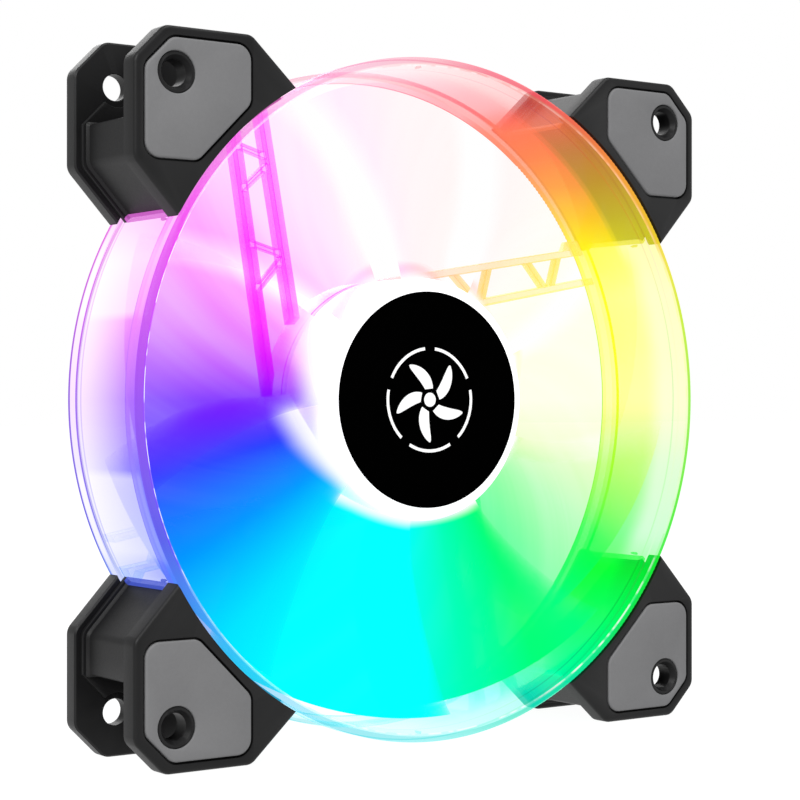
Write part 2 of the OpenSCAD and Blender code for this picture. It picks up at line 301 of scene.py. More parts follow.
# The light of the ring of lamps, by angle round the axis: colour and how strongly a surface takes it.
BLADE_LIGHT = wheel([
    (-180, (0.19, 0.0, 1.0), 0.74), (-165, (0.02, 0.05, 1.0), 0.90), (-150, (0.0, 0.30, 1.0), 0.97),
    (-135, (0.0, 0.76, 1.0), 0.97), (-120, (0.0, 1.0, 1.0), 0.97), (-105, (0.0, 1.0, 1.0), 0.97),
    (-90, (0.0, 1.0, 1.0), 0.97), (-75, (0.0, 1.0, 0.47), 0.95), (-60, (0.0, 1.0, 0.18), 0.88),
    (-45, (0.0, 1.0, 0.24), 0.56), (-30, (0.0, 1.0, 0.05), 0.32), (-15, (0.6, 1.0, 0.0), 0.20),
    (0, (1.0, 1.0, 0.0), 0.08), (15, (1.0, 1.0, 0.0), 0.08), (30, (1.0, 1.0, 0.0), 0.05),
    (45, (1.0, 0.9, 0.2), 0.04), (60, (1.0, 0.3, 0.1), 0.04), (75, (1.0, 0.1, 0.1), 0.035),
    (90, (1.0, 0.0, 0.2), 0.035), (105, (1.0, 0.0, 0.8), 0.06), (120, (1.0, 0.0, 1.0), 0.09),
    (135, (1.0, 0.0, 1.0), 0.17), (150, (1.0, 0.0, 1.0), 0.38), (165, (0.68, 0.0, 1.0), 0.50),
    (180, (0.19, 0.0, 1.0), 0.74)])

# Painted lamp light on the wall of the ring near its front and near its rear. The second number is the opacity of both
# skins together.
WALL_FRONT = wheel([
    (-180, (0.39, 0.13, 0.98), 0.86), (-168, (0.21, 0.17, 0.95), 0.86), (-156, (0.10, 0.15, 0.90), 0.86),
    (-148, (0.10, 0.16, 0.90), 0.60), (-125, (0.05, 0.55, 1.0), 0.35), (-90, (0.2, 1.0, 1.0), 0.30),
    (-70, (0.0, 1.0, 0.75), 0.5), (-58, (0.0, 1.0, 0.32), 0.82), (-44, (0.0, 1.0, 0.12), 0.85),
    (-34, (0.0, 1.0, 0.04), 0.72), (-26, (0.0, 1.0, 0.08), 0.42), (-12, (0.3, 1.0, 0.1), 0.38),
    (0, (1.0, 1.0, 0.0), 0.34), (20, (1.0, 1.0, 0.0), 0.40), (30, (0.95, 0.9, 0.03), 0.55), (37, (0.62, 0.50, 0.03), 0.80),
    (45, (0.58, 0.33, 0.035), 0.80), (53, (0.62, 0.23, 0.05), 0.80), (61, (0.9, 0.18, 0.08), 0.72), (68, (1.0, 0.12, 0.1), 0.42),
    (80, (1.0, 0.15, 0.15), 0.30), (95, (1.0, 0.3, 0.35), 0.16), (115, (1.0, 0.3, 0.7), 0.22), (138, (1.0, 0.25, 0.9), 0.35),
    (150, (1.0, 0.2, 0.95), 0.62), (157, (1.0, 0.36, 0.95), 0.82), (168, (0.78, 0.20, 0.95), 0.86), (180, (0.39, 0.13, 0.98), 0.86)])
WALL_REAR = wheel([
    (-180, (0.85, 0.66, 1.0), 0.84), (-168, (0.77, 0.72, 1.0), 0.84), (-156, (0.58, 0.59, 1.0), 0.84),
    (-148, (0.42, 0.5, 1.0), 0.60), (-125, (0.3, 0.8, 1.0), 0.35), (-90, (0.2, 1.0, 1.0), 0.40),
    (-70, (0.0, 1.0, 0.72), 0.85), (-58, (0.0, 1.0, 0.30), 0.93), (-44, (0.0, 1.0, 0.10), 0.95),
    (-34, (0.0, 1.0, 0.03), 0.95), (-26, (0.02, 1.0, 0.10), 0.88), (-12, (0.25, 1.0, 0.02), 0.80),
    (0, (1.0, 1.0, 0.0), 0.66), (20, (1.0, 1.0, 0.0), 0.68), (30, (1.0, 0.90, 0.01), 0.90), (37, (1.0, 0.56, 0.02), 0.95),
    (45, (1.0, 0.31, 0.05), 0.95), (53, (1.0, 0.20, 0.06), 0.95), (61, (1.0, 0.16, 0.07), 0.93), (68, (1.0, 0.10, 0.12), 0.66),
    (80, (1.0, 0.10, 0.2), 0.52), (95, (1.0, 0.2, 0.4), 0.35), (115, (1.0, 0.3, 0.8), 0.25), (138, (1.0, 0.5, 1.0), 0.35),
    (150, (1.0, 0.5, 1.0), 0.62), (157, (1.0, 0.80, 1.0), 0.80), (168, (1.0, 0.77, 1.0), 0.84), (180, (0.85, 0.66, 1.0), 0.84)])
# Painted lamp light on the ring's flat faces, on its rounded edges (deeper and more opaque, so they show as dark lines)
# and on its shoulder.
FACE = wheel([
    (-180, (0.33, 0.08, 1.0), 0.95), (-158, (0.12, 0.08, 1.0), 0.95), (-153, (0.12, 0.12, 1.0), 0.9), (-149, (0.3, 0.5, 1.0), 0.4),
    (-120, (0.3, 0.9, 1.0), 0.4), (-90, (0.1, 1.0, 1.0), 0.42), (-66, (0.1, 1.0, 0.7), 0.5), (-56, (0.0, 0.9, 0.35), 0.85),
    (-40, (0.0, 0.92, 0.18), 0.88), (-30, (0.1, 1.0, 0.15), 0.6), (-15, (0.5, 1.0, 0.2), 0.45), (0, (0.8, 1.0, 0.1), 0.42),
    (22, (1.0, 0.98, 0.1), 0.5), (32, (1.0, 0.62, 0.1), 0.85), (50, (1.0, 0.36, 0.11), 0.88), (62, (1.0, 0.28, 0.18), 0.6),
    (78, (1.0, 0.2, 0.2), 0.4), (95, (1.0, 0.15, 0.2), 0.30), (112, (1.0, 0.5, 0.7), 0.26), (138, (1.0, 0.7, 1.0), 0.30),
    (148, (1.0, 0.5, 1.0), 0.45), (152, (1.0, 0.06, 1.0), 0.93), (160, (0.82, 0.08, 1.0), 0.95), (170, (0.55, 0.08, 1.0), 0.95), (180, (0.33, 0.08, 1.0), 0.95)])
LINE = wheel([
    (-180, (0.36, 0.10, 0.95), 0.86), (-158, (0.12, 0.12, 0.9), 0.88), (-140, (0.05, 0.35, 0.95), 0.62), (-115, (0.0, 0.75, 0.9), 0.58),
    (-90, (0.0, 0.82, 0.82), 0.62), (-65, (0.0, 0.86, 0.5), 0.80), (-45, (0.0, 0.88, 0.10), 0.92), (-30, (0.0, 0.93, 0.02), 0.95),
    (-12, (0.18, 0.93, 0.01), 0.92), (0, (0.34, 0.94, 0.05), 0.93), (14, (0.62, 0.94, 0.03), 0.93), (26, (0.95, 0.84, 0.02), 0.93), (38, (1.0, 0.52, 0.03), 0.92),
    (52, (1.0, 0.24, 0.06), 0.90), (65, (1.0, 0.11, 0.11), 0.86), (80, (1.0, 0.10, 0.20), 0.80), (92, (1.0, 0.15, 0.3), 0.50),
    (110, (1.0, 0.2, 0.55), 0.42), (130, (1.0, 0.15, 0.8), 0.55), (150, (0.98, 0.08, 0.95), 0.88), (166, (0.66, 0.10, 0.95), 0.86), (180, (0.36, 0.10, 0.95), 0.86)])
SHOULDER = wheel([
    (-180, (0.95, 0.82, 1.0), 0.5), (-150, (0.75, 0.8, 1.0), 0.5), (-90, (0.5, 1.0, 1.0), 0.4), (-68, (0.0, 0.95, 0.6), 0.80),
    (-45, (0.0, 0.95, 0.12), 0.92), (-30, (0.0, 0.97, 0.02), 0.95), (-12, (0.14, 0.96, 0.01), 0.92), (0, (0.40, 0.96, 0.01), 0.95),
    (14, (0.74, 0.96, 0.03), 0.88), (26, (0.95, 0.82, 0.02), 0.90), (38, (1.0, 0.40, 0.03), 0.90), (52, (1.0, 0.19, 0.06), 0.88),
    (65, (1.0, 0.16, 0.14), 0.78), (80, (1.0, 0.15, 0.22), 0.66), (95, (1.0, 0.6, 0.7), 0.35), (130, (1.0, 0.8, 0.95), 0.4), (180, (0.95, 0.82, 1.0), 0.5)])


RIM_LIGHT = wheel([
    (-180, (0.28, 0.10, 0.80), 0.88), (-158, (0.10, 0.10, 0.78), 0.90), (-140, (0.05, 0.35, 0.9), 0.66), (-115, (0.0, 0.75, 0.9), 0.55),
    (-90, (0.0, 0.82, 0.82), 0.50), (-72, (0.0, 0.9, 0.5), 0.40), (-55, (0.0, 1.0, 0.3), 0.30), (-20, (0.2, 1.0, 0.1), 0.24),
    (0, (1.0, 1.0, 0.0), 0.22), (35, (1.0, 0.5, 0.05), 0.30), (60, (1.0, 0.17, 0.08), 0.40), (80, (1.0, 0.2, 0.2), 0.44),
    (110, (1.0, 0.2, 0.5), 0.45), (130, (0.95, 0.15, 0.75), 0.60), (150, (0.85, 0.12, 0.80), 0.86), (166, (0.56, 0.12, 0.80), 0.88), (180, (0.28, 0.10, 0.80), 0.88)])


def skin_share(stops):
    """Opacity of one of two skins that together give the opacity in the table."""
    return [(p, (*c[:3], 1 - math.sqrt(1 - c[3]))) for p, c in stops]


def lit_clear(name, front, rear=None, gain=1.25, rough=0.08, white=0.0, edge=0.06):
    """Clear plastic with the lamps' light in it. front and rear are tables by angle, blended through the ring's depth."""
    t = Tree(name)
    pos, share, r = t.place()
    s = t.node("SeparateXYZ")
    t.put(s.inputs[0], pos)
    col, amt = t.ramp(share, front)
    cloud = t.noise(t.object_pos(), 42.0, 3.0, 0.5)
    if rear:
        col2, amt2 = t.ramp(share, rear)
        right = t.band(s.outputs[0], -0.020, 0.020)
        soft = t.band(s.outputs[1], -0.006, 0.0088, smooth=False)
        quick = t.band(s.outputs[1], -0.0066, 0.0, 0.0, 0.82)
        late = t.band(s.outputs[1], 0.0, 0.0125, 0.0, 0.18, smooth=False)
        crisp = t.ramp(share, [(0.0, (0, 0, 0, 1)), (0.572, (0, 0, 0, 1)), (0.588, (1, 1, 1, 1)), (0.665, (1, 1, 1, 1)), (0.69, (0, 0, 0, 1)), (1.0, (0, 0, 0, 1))])[0]
        quick = t.fmix(crisp, quick, t.band(s.outputs[1], -0.0018, -0.0008, 0.0, 0.82))
        f = t.fmix(right, soft, t.math("ADD", quick, late))
        f = t.math("ADD", f, t.band(cloud, 0.3, 0.7, -0.04, 0.04), clamp=True)
        col = t.mix(f, col, col2)
        amt = t.fmix(f, amt, amt2)
        # a paler reflection above and below the middle of the left side
        left = t.ramp(share, [(0.0, (0, 0, 0, 1)), (0.0325, (0, 0, 0, 1)), (0.0335, (1, 1, 1, 1)), (0.07, (1, 1, 1, 1)), (0.08, (0, 0, 0, 1)),
                              (0.91, (0, 0, 0, 1)), (0.935, (1, 1, 1, 1)), (0.9635, (1, 1, 1, 1)), (0.9645, (0, 0, 0, 1)), (1.0, (0, 0, 0, 1))])[0]
        pale = t.math("MULTIPLY", left, t.band(s.outputs[1], -0.0078, -0.0072, 0.05, 0.45))
        col = t.mix(pale, col, (1.0, 0.98, 1.0, 1))
    facing = t.node("LayerWeight")
    facing.inputs[0].default_value = 0.3
    rim = t.math("MULTIPLY", t.math("POWER", facing.outputs["Facing"], 3.0), edge)
    a = t.math("MULTIPLY", amt, t.band(cloud, 0.3, 0.7, 0.95, 1.04))
    a = t.math("ADD", a, rim, clamp=True)
    # painted highlight: broken white dashes along the edge, strong from the top round the left to the bottom, faint on
    # the right
    if white:
        part = t.ramp(share, [(0.0, (0.85, 0.85, 0.85, 1)), (0.33, (0.9, 0.9, 0.9, 1)), (0.38, (0.75, 0.75, 0.75, 1)), (0.44, (0.3, 0.3, 0.3, 1)), (0.6, (0.15, 0.15, 0.15, 1)),
                              (0.68, (0.25, 0.25, 0.25, 1)), (0.76, (0.9, 0.9, 0.9, 1)), (1.0, (0.85, 0.85, 0.85, 1))])[0]
        along = t.node("CombineXYZ")
        t.put(along.inputs[0], t.math("MULTIPLY", share, 70.0))
        highlight_dash = t.band(t.noise(along.outputs[0], 1.0, 2.0, 0.6), 0.46, 0.53, 0.12, 1.0)
        col = t.mix(t.math("MULTIPLY", t.math("MULTIPLY", part, highlight_dash), white), col, (1, 1, 1, 1))
    t.set(Base_Color=t.mix(0.95, col, (0.0, 0.0, 0.0, 1)), Roughness=t.band(cloud, 0.25, 0.75, rough * 0.7, rough * 1.6),
          IOR=1.49, Alpha=a, Emission_Color=col, Emission_Strength=gain)
    t.set(Normal=t.bump(t.noise(t.object_pos(), 240.0, 2.0), 0.04, 0.0003))
    t.bsdf.inputs["Specular IOR Level"].default_value = 0.06
    return t.mat


# Painted glow: the blades take the lamps' light as emission, coloured by angle round the axis.
def blade_plastic():
    t = Tree("blade_plastic")
    pos, share, r = t.place()
    col, amt = t.ramp(share, BLADE_LIGHT, "LINEAR")
    # soft streaks in the painted lamp glow that sweep out from the hub
    flat = t.vmath("MULTIPLY", pos, (1.0, 0.0, 1.0))
    unit = t.vmath("NORMALIZE", flat)
    turn = t.node("VectorRotate", rotation_type="Y_AXIS")
    t.put(turn.inputs["Vector"], unit)
    t.put(turn.inputs["Angle"], t.math("MULTIPLY", r, -14.0))
    streak = t.noise(turn.outputs[0], 4.5, 4.0, 0.58)
    fine = t.noise(turn.outputs[0], 30.0, 3.0, 0.55)
    depth = t.math("ADD", t.band(streak, 0.3, 0.7, 0.84, 1.2), t.band(fine, 0.3, 0.7, -0.04, 0.04))
    # a little less of it towards the tips on the left
    tips = t.ramp(share, [(0.0, (1, 1, 1, 1)), (0.03, (1, 1, 1, 1)), (0.07, (0, 0, 0, 1)), (0.9, (0, 0, 0, 1)), (0.95, (1, 1, 1, 1)), (1.0, (1, 1, 1, 1))])[0]
    depth = t.math("MULTIPLY", depth, t.fmix(tips, 1.0, t.band(r, 0.038, 0.052, 1.0, 0.72)))
    # the moulded edges feather out where neighbouring blades overlap
    chord = t.node("Attribute", attribute_type="GEOMETRY", attribute_name="chord").outputs["Fac"]
    thin = t.math("MULTIPLY", t.band(chord, 0.0, 0.14, 0.08, 1.0, smooth=False), t.band(chord, 0.86, 1.0, 1.0, 0.08, smooth=False))
    a = t.math("SUBTRACT", 1.0, t.math("POWER", t.math("SUBTRACT", 1.0, amt), t.math("MULTIPLY", depth, thin)), clamp=True)
    # whiter close to the hub, furthest on the left where the lamps are brightest
    reach = t.ramp(share, [(0.0, (0.6, 0.6, 0.6, 1)), (0.05, (0.58, 0.58, 0.58, 1)), (0.10, (0.30, 0.30, 0.30, 1)), (0.16, (0.14, 0.14, 0.14, 1)),
                           (0.28, (0.10, 0.10, 0.10, 1)), (0.5, (0.2, 0.2, 0.2, 1)), (0.85, (0.4, 0.4, 0.4, 1)), (0.93, (0.7, 0.7, 0.7, 1)), (1.0, (0.6, 0.6, 0.6, 1))])[0]
    far = t.math("MULTIPLY_ADD", reach, 0.0085, 0.0224)
    white = t.math("POWER", t.band(r, 0.0212, far, 1.0, 0.0), 1.1)
    glow = t.mix(white, col, (1, 1, 1, 1))
    t.set(Base_Color=t.mix(0.95, glow, (0.0, 0.0, 0.0, 1)), Emission_Color=glow, Emission_Strength=0.98,
          Alpha=t.math("MAXIMUM", a, t.math("MULTIPLY", white, 0.8)), Roughness=t.band(fine, 0.3, 0.7, 0.42, 0.55), IOR=1.49)
    t.bsdf.inputs["Specular IOR Level"].default_value = 0.015
    return t.mat


# Painted glow: the hub shell takes the lamps' light as emission and is near white at its front face.
def hub_plastic():
    t = Tree("hub_plastic")
    pos, share, r = t.place()
    col, amt = t.ramp(share, BLADE_LIGHT)
    s = t.node("SeparateXYZ")
    t.put(s.inputs[0], pos)
    # painted glow tint: the lamp colour shows more towards the rear of the hub
    painted_glow_tint = t.band(s.outputs[1], -0.0088, -0.001, 0.05, 0.75)
    painted_glow_tint = t.math("MULTIPLY", painted_glow_tint, amt)
    cloud = t.noise(t.object_pos(), 60.0, 3.0)
    glow = t.mix(painted_glow_tint, (1, 1, 1, 1), col)
    t.set(Base_Color=t.mix(0.5, glow, (0.8, 0.8, 0.82, 1)), Emission_Color=glow, Emission_Strength=t.band(cloud, 0.3, 0.7, 0.55, 0.61),
          Roughness=t.band(cloud, 0.3, 0.7, 0.3, 0.42))
    t.set(Normal=t.bump(cloud, 0.08, 0.0004))
    return t.mat


# Painted lamp light on the clear struts, by angle round the axis: colour and how strongly a surface takes it.
STRUT = wheel([
    (-180, (0.25, 0.0, 1.0), 0.62), (-150, (0.0, 0.3, 1.0), 0.4), (-120, (0.0, 0.85, 0.85), 0.25), (-90, (0.0, 0.9, 0.8), 0.25),
    (-60, (0.0, 0.92, 0.12), 0.45), (-40, (0.0, 0.92, 0.15), 0.40), (-15, (0.6, 1.0, 0.1), 0.30), (5, (1.0, 0.92, 0.10), 0.50),
    (35, (1.0, 0.60, 0.08), 0.62), (62, (1.0, 0.38, 0.20), 0.48), (85, (1.0, 0.25, 0.45), 0.32), (108, (1.0, 0.04, 0.95), 0.42),
    (140, (1.0, 0.02, 1.0), 0.60), (165, (0.75, 0.0, 1.0), 0.72), (180, (0.25, 0.0, 1.0), 0.62)])


def strut_plastic(name, face, side, gain, painted_edge_shade=0.0):
    """Clear strut plastic with the lamps' light painted in as glow: paler where it faces front, deeper on its sides, a
    painted shading by face direction.
    """
    t = Tree(name)
    pos, share, r = t.place()
    col, amt = t.ramp(share, STRUT)
    geo = t.node("NewGeometry")
    n = t.node("SeparateXYZ")
    t.put(n.inputs[0], geo.outputs["Normal"])
    lean = t.math("SUBTRACT", 1.0, t.math("ABSOLUTE", n.outputs[1]))
    cloud = t.noise(t.object_pos(), 120.0, 3.0)
    a = t.math("MULTIPLY", amt, t.fmix(lean, face, side), clamp=True)
    a = t.math("MULTIPLY", a, t.band(cloud, 0.3, 0.7, 0.94, 1.06), clamp=True)
    # painted shade: a share of darkness in the glow, used on the rounded edges
    glow = t.mix(painted_edge_shade, col, t.mix(0.55, col, (0.0, 0.0, 0.0, 1)))
    t.set(Base_Color=t.mix(0.75, col, (0.02, 0.02, 0.02, 1)), Emission_Color=glow, Emission_Strength=gain,
          Alpha=a, Roughness=t.band(cloud, 0.3, 0.7, 0.08, 0.16), IOR=1.49, Normal=t.bump(cloud, 0.04, 0.0002))
    t.bsdf.inputs["Specular IOR Level"].default_value = 0.3
    return t.mat


def black_plastic(name="black_bracket_plastic", base=0.0085, rough=0.42, spec=0.16, grain=0.10):
    t = Tree(name)
    p = t.object_pos()
    fine = t.noise(p, 2600.0, 3.0, 0.6)
    broad = t.noise(p, 90.0, 4.0, 0.55)
    tone = t.band(broad, 0.3, 0.7, 0.82, 1.2)
    col = t.mix(tone, (0, 0, 0, 1), (base, base, base * 1.03, 1))
    geo = t.node("NewGeometry")
    # painted highlight: the convex edges are lightened, as if they catch the light
    painted_edge_highlight = t.band(geo.outputs["Pointiness"], 0.52, 0.60, 0.0, 0.5)
    col = t.mix(painted_edge_highlight, col, (base * 2.6, base * 2.6, base * 2.65, 1))
    t.set(Base_Color=col, Roughness=t.math("ADD", rough - 0.08, t.math("MULTIPLY", fine, 0.16)),
          Normal=t.bump(fine, grain, 0.00012))
    t.bsdf.inputs["Specular IOR Level"].default_value = spec
    return t.mat


def rubber():
    t = Tree("grey_pad_rubber")
    p = t.object_pos()
    fine = t.noise(p, 2200.0, 4.0, 0.65)
    broad = t.noise(p, 60.0, 3.0)
    col = t.mix(t.band(broad, 0.3, 0.7, 0.0, 1.0), rgb(109, 109, 110), rgb(113, 113, 114))
    col = t.mix(t.band(fine, 0.35, 0.65, 0.0, 0.12), col, rgb(124, 124, 125))
    t.set(Base_Color=col, Roughness=t.band(fine, 0.3, 0.7, 0.85, 0.96), Normal=t.bump(fine, 0.16, 0.00015))
    t.bsdf.inputs["Specular IOR Level"].default_value = 0.02
    return t.mat


def film(name, colour, rough=0.35, spec=0.2, scale=900.0):
    t = Tree(name)
    p = t.object_pos()
    fine = t.noise(p, scale, 3.0)
    col = t.mix(t.band(fine, 0.3, 0.7, 0.0, 1.0), tuple(v * 0.9 for v in colour[:3]) + (1,), tuple(min(1, v * 1.08) for v in colour[:3]) + (1,))
    t.set(Base_Color=col, Roughness=t.band(fine, 0.3, 0.7, rough * 0.85, rough * 1.15), Normal=t.bump(fine, 0.04, 0.0001))
    t.bsdf.inputs["Specular IOR Level"].default_value = spec
    return t.mat


def metal(name, colour, rough=0.3, scale=(400.0, 400.0, 400.0), grain=0.08):
    t = Tree(name)
    p = t.vmath("MULTIPLY", t.object_pos(), scale)
    n = t.noise(p, 1.0, 4.0, 0.6)
    col = t.mix(t.band(n, 0.3, 0.7, 0.0, 1.0), tuple(v * 0.82 for v in colour[:3]) + (1,), colour)
    t.set(Base_Color=col, Metallic=1.0, Roughness=t.band(n, 0.3, 0.7, rough * 0.75, rough * 1.3), Normal=t.bump(n, grain, 0.0001))
    return t.mat


def copper_winding():
    t = Tree("copper_winding")
    p = t.object_pos()
    w = t.node("TexWave", wave_type="BANDS", bands_direction="Y")
    t.put(w.inputs["Vector"], p)
    w.inputs["Scale"].default_value = 900.0
    w.inputs["Distortion"].default_value = 0.6
    col = t.mix(w.outputs["Fac"], rgb(110, 52, 26), rgb(214, 124, 70))
    t.set(Base_Color=col, Metallic=0.85, Roughness=0.32, Normal=t.bump(w.outputs["Fac"], 0.5, 0.0001))
    return t.mat


def board():
    t = Tree("board_laminate")
    p = t.object_pos()
    v = t.node("TexVoronoi", feature="DISTANCE_TO_EDGE")
    t.put(v.inputs["Vector"], p)
    v.inputs["Scale"].default_value = 320.0
    trace = t.band(v.outputs["Distance"], 0.02, 0.06, 1.0, 0.0)
    weave = t.noise(p, 1500.0, 2.0)
    col = t.mix(trace, rgb(14, 62, 34), rgb(40, 106, 60))
    col = t.mix(t.band(weave, 0.3, 0.7, 0.0, 0.2), col, rgb(60, 120, 70))
    t.set(Base_Color=col, Roughness=0.35, Normal=t.bump(weave, 0.08, 0.0001))
    return t.mat


def moulded(name, colour, rough=0.4, scale=700.0, metallic=0.0):
    t = Tree(name)
    p = t.object_pos()
    n = t.noise(p, scale, 4.0)
    b = t.noise(p, 70.0, 3.0)
    col = t.mix(t.band(b, 0.3, 0.7, 0.0, 1.0), tuple(v * 0.86 for v in colour[:3]) + (1,), colour)
    t.set(Base_Color=col, Metallic=metallic, Roughness=t.band(n, 0.3, 0.7, rough * 0.8, rough * 1.2), Normal=t.bump(n, 0.08, 0.0001))
    return t.mat


def base_plastic():
    """The clear motor base: lit from inside by the lamps, cloudy."""
    t = Tree("motor_base_clear")
    pos, share, r = t.place()
    col, amt = t.ramp(share, WALL_REAR)
    cloud = t.noise(t.object_pos(), 90.0, 4.0)
    glow = t.mix(0.45, (1, 1, 1, 1), col)
    t.set(Base_Color=t.mix(0.5, glow, (0.5, 0.5, 0.52, 1)), Emission_Color=glow, Emission_Strength=0.35,
          Alpha=t.band(cloud, 0.3, 0.7, 0.72, 0.82), Roughness=t.band(cloud, 0.3, 0.7, 0.15, 0.25))
    return t.mat


M = {
    "wall": lit_clear("ring_wall", skin_share(WALL_FRONT), skin_share(WALL_REAR), gain=1.07),
    "face": lit_clear("ring_face", FACE, gain=0.92),
    "line": lit_clear("ring_edge", LINE, gain=0.85),
    "thin": lit_clear("ring_fine_edge", [(p, (*c[:3], c[3] * 0.42)) for p, c in LINE], gain=0.85),
    "rim": lit_clear("ring_outer_edge", RIM_LIGHT, gain=0.85),
    # the ring's front rounded edge, with painted highlight dashes
    "white": lit_clear("ring_painted_highlight_edge", FACE, gain=1.0, white=1.0),
    "shoulder": lit_clear("ring_shoulder", SHOULDER, gain=0.9),
    "sill": lit_clear("ring_sill", WALL_FRONT, gain=0.62),
    "blade": blade_plastic(),
    "hub": hub_plastic(),
    "strut": strut_plastic("strut_clear", 0.48, 1.30, 1.0),
    # the rounded edges of the struts and the motor base, with painted shade in their glow
    "strut_edge": strut_plastic("strut_edge", 1.9, 2.1, 0.9, 0.62),
    "black": black_plastic(),
    "pad": rubber(),
    "label": film("label_film", (0.0003, 0.0003, 0.0003, 1), rough=0.6, spec=0.0),
    "mark": film("label_mark", (0.9, 0.9, 0.9, 1), rough=0.6, spec=0.1),
    "base": base_plastic(),
}


# ---------------------------------------------------------------- the clear ring

WALL, FACE_M, EDGE, PAINTED_HIGHLIGHT, STEP, THIN, RIM = range(7)


def build_ring():
    bm = bmesh.new()
    pts = [(BORE, -8.7), (57.882, -9.05), (58.2, BF), (58.62, BF), (59.25, BF), (LIP, -11.8), (LIP, -8.3), (GROOVE, -8.3),
           (GROOVE, 8.9), (LIP, 8.9), (LIP, 11.15), (LIP, 11.8), (59.25, BR), (BORE + 0.1, BR), (BORE + 0.05, 11.85), (BORE, 11.2)]
    rs = [0.2, 0.0, 0.26, 0.0, 0.2, 0.3, 0.22, 0.1, 0.14, 0.2, 0.0, 0.3, 0.3, 0.25, 0.0, 0.0]
    prof, tags = fillet(pts, rs, 3)
    side = {0: THIN, 1: WALL, 2: FACE_M, 3: EDGE, 4: EDGE, 5: WALL, 6: WALL, 7: WALL, 8: STEP, 9: WALL, 10: RIM, 11: RIM,
            12: WALL, 13: EDGE, 14: WALL, 15: WALL}
    corner = {0: THIN, 2: PAINTED_HIGHLIGHT, 6: RIM, 7: WALL, 8: THIN, 9: THIN, 11: RIM, 12: RIM}
    mats = [corner.get(i, EDGE) if k == "c" else side[i] for k, i in tags]
    knurl = {i for i, (k, c) in enumerate(tags) if k == "c" and c == 5}
    ribs = {i for i, (k, c) in enumerate(tags) if (k, c) in (("c", 13), ("s", 13), ("s", 14), ("s", 15))}

    def shift(i, r, y, a, k):
        if i in knurl and k % 2:
            r -= 0.09
        if i in ribs and abs((math.degrees(a) % 90) - 42) < 10 and k % 2:
            r += 0.14
        return r, y

    revolve(bm, prof, 864, mats, shift)
    ob = from_bmesh("ring_shell", bm, [M["wall"], M["face"], M["line"], M["white"], M["shoulder"], M["thin"], M["rim"]], sharp=28)
    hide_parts("clear_ring")
    return ob


def arc_strip(bm, loops, mat=0):
    """A closed solid from a row of cross-sections, each a list of vertices."""
    for a, b in zip(loops, loops[1:]):
        bridge(bm, a, b, mat)
    bm.faces.new(list(reversed(loops[0])))
    bm.faces.new(loops[-1])


def build_sills():
    """Low sills in the groove beside each post, and the small nubs on the groove's floor."""
    bm = bmesh.new()
    for k in range(4):
        turn = k * PI / 2
        for mirror in (False, True):
            cross = []
            for e, r in ((1.07, 58.83), (1.93, 58.83), (1.90, 59.62), (1.10, 59.62)):
                x, z = on_circle(e, r)
                cross.append((z, x) if mirror else (x, z))
            if mirror:
                cross.reverse()
            rows = [add_loop(bm, cross, y, turn) for y in (-8.24, 7.9)]
            arc_strip(bm, rows)
    for deg in (90, 150, 210, 270, 330, 30):
        a = math.radians(deg)
        rows = []
        for y, h, w in ((-6.3, 0.04, 0.10), (-6.0, 0.42, 0.22), (-4.9, 0.42, 0.22), (-4.4, 0.04, 0.10)):
            row = []
            for dr, dt in ((0.0, -w), (0.0, w), (h, w * 0.7), (h, -w * 0.7)):
                r = 58.83 + dr
                b = a + dt / r
                row.append(bm.verts.new((r * math.cos(b), y, r * math.sin(b))))
            rows.append(row)
        arc_strip(bm, rows)
    ob = from_bmesh("ring_sills", bm, [M["sill"]], sharp=30)
    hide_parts("clear_ring")
    return ob


# ---------------------------------------------------------------- brackets

SN = (-0.6764, 0.7363)
SD = SN[0] * 38.3 + SN[1] * 60


def slant_x(e):
    return (SN[1] * (60 - e) - (SD - e)) / -SN[0]


def on_circle(e, r):
    """Where the slanted side, drawn in by e, meets the circle of radius r."""
    d = SD - e
    h = math.sqrt(r * r - d * d)
    return (SN[0] * d + SN[1] * h, SN[1] * d - SN[0] * h)


def circle_arc(p, q, r, n):
    a, b = math.atan2(p[1], p[0]), math.atan2(q[1], q[0])
    return [(r * math.cos(a + (b - a) * i / n), r * math.sin(a + (b - a) * i / n)) for i in range(n + 1)]


def flange_outline(e, r, n=7, m=40):
    o, c = 60 - e, 114.5 - e * math.sqrt(2)
    sx = slant_x(e)
    p = [(o, c - o), (c - o, o), (sx, o), on_circle(e, r), None, (o, sx)]
    p[4] = (p[3][1], p[3][0])
    rr = max(2.5 - e, 0.6)
    out = []
    out += arc_corner(p[5], p[0], p[1], rr, n)
    out += arc_corner(p[0], p[1], p[2], rr, n)
    out += arc_corner(p[1], p[2], p[3], rr, n)
    out += circle_arc(p[3], p[4], r, m)
    out += arc_corner(p[4], p[5], p[0], rr, n)
    return out


def pad_outline(e, n=8):
    o, i = 58.1 + e, 38.6 - e
    dout, din = 111.4 + e * math.sqrt(2), 87.1 - e * math.sqrt(2)
    p = [(o, dout - o), (dout - o, o), (i, o), (i, din - i), (din - i, i), (o, i)]
    rs = [2.4, 2.4, 2.6, 2.4, 2.4, 2.6]
    out = []
    for k in range(6):
        out += arc_corner(p[k - 1], p[k], p[(k + 1) % 6], rs[k] + e, n)
    return out


def ring_pts(r, n=48, c=(HOLE, HOLE)):
    return [(c[0] + r * math.cos(2 * PI * i / n), c[1] + r * math.sin(2 * PI * i / n)) for i in range(n)]


